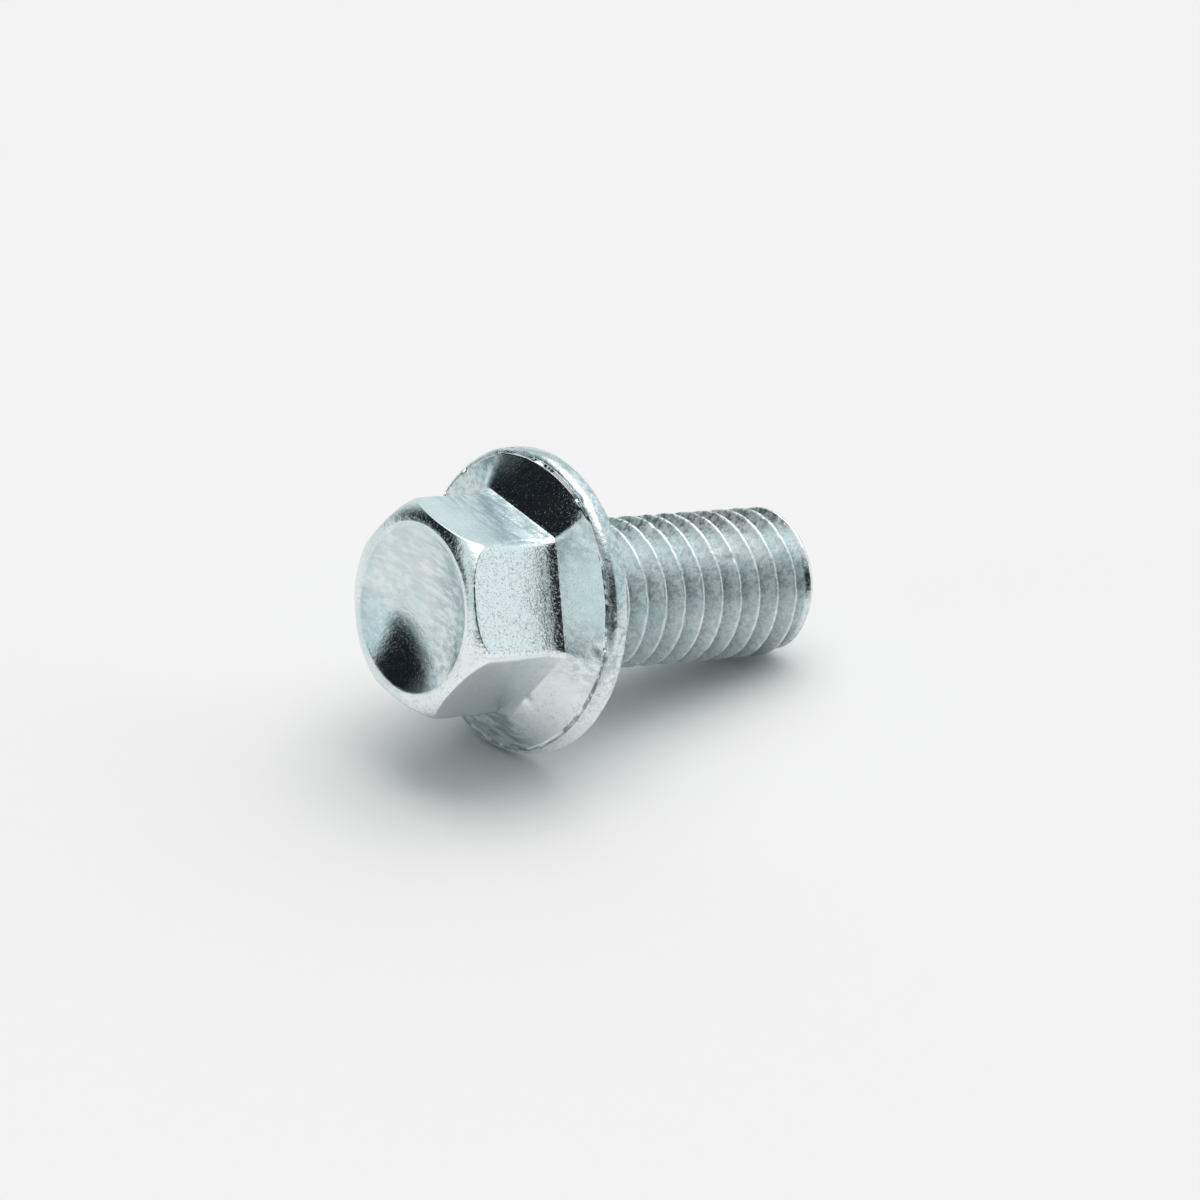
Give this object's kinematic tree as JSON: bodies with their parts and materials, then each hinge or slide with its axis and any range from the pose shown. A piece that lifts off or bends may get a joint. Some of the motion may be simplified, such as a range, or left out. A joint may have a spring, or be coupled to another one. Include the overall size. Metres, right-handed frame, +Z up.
{
  "type": "hexagon flange bolt",
  "caption": "Short zinc-plated hexagon bolt with a broad round flange, a dished head and a full right-hand thread, used to clamp sheet or housings without a loose washer.",
  "frame": {"origin": "on the floor, below the middle of the box around the lying bolt", "axes": "+X along the lying bolt from its head towards the tip of its thread, +Z up; the axis of the bolt lies in the plane of X and Z and dips by 14.18 degrees towards the tip"},
  "size_m": [0.0252, 0.0156, 0.0154],
  "materials": {
    "zinc": "bright zinc plating with a pale blue-white tint"
  },
  "bodies": {
    "root": {"bolt": "zinc"}
  },
  "joints": []
}
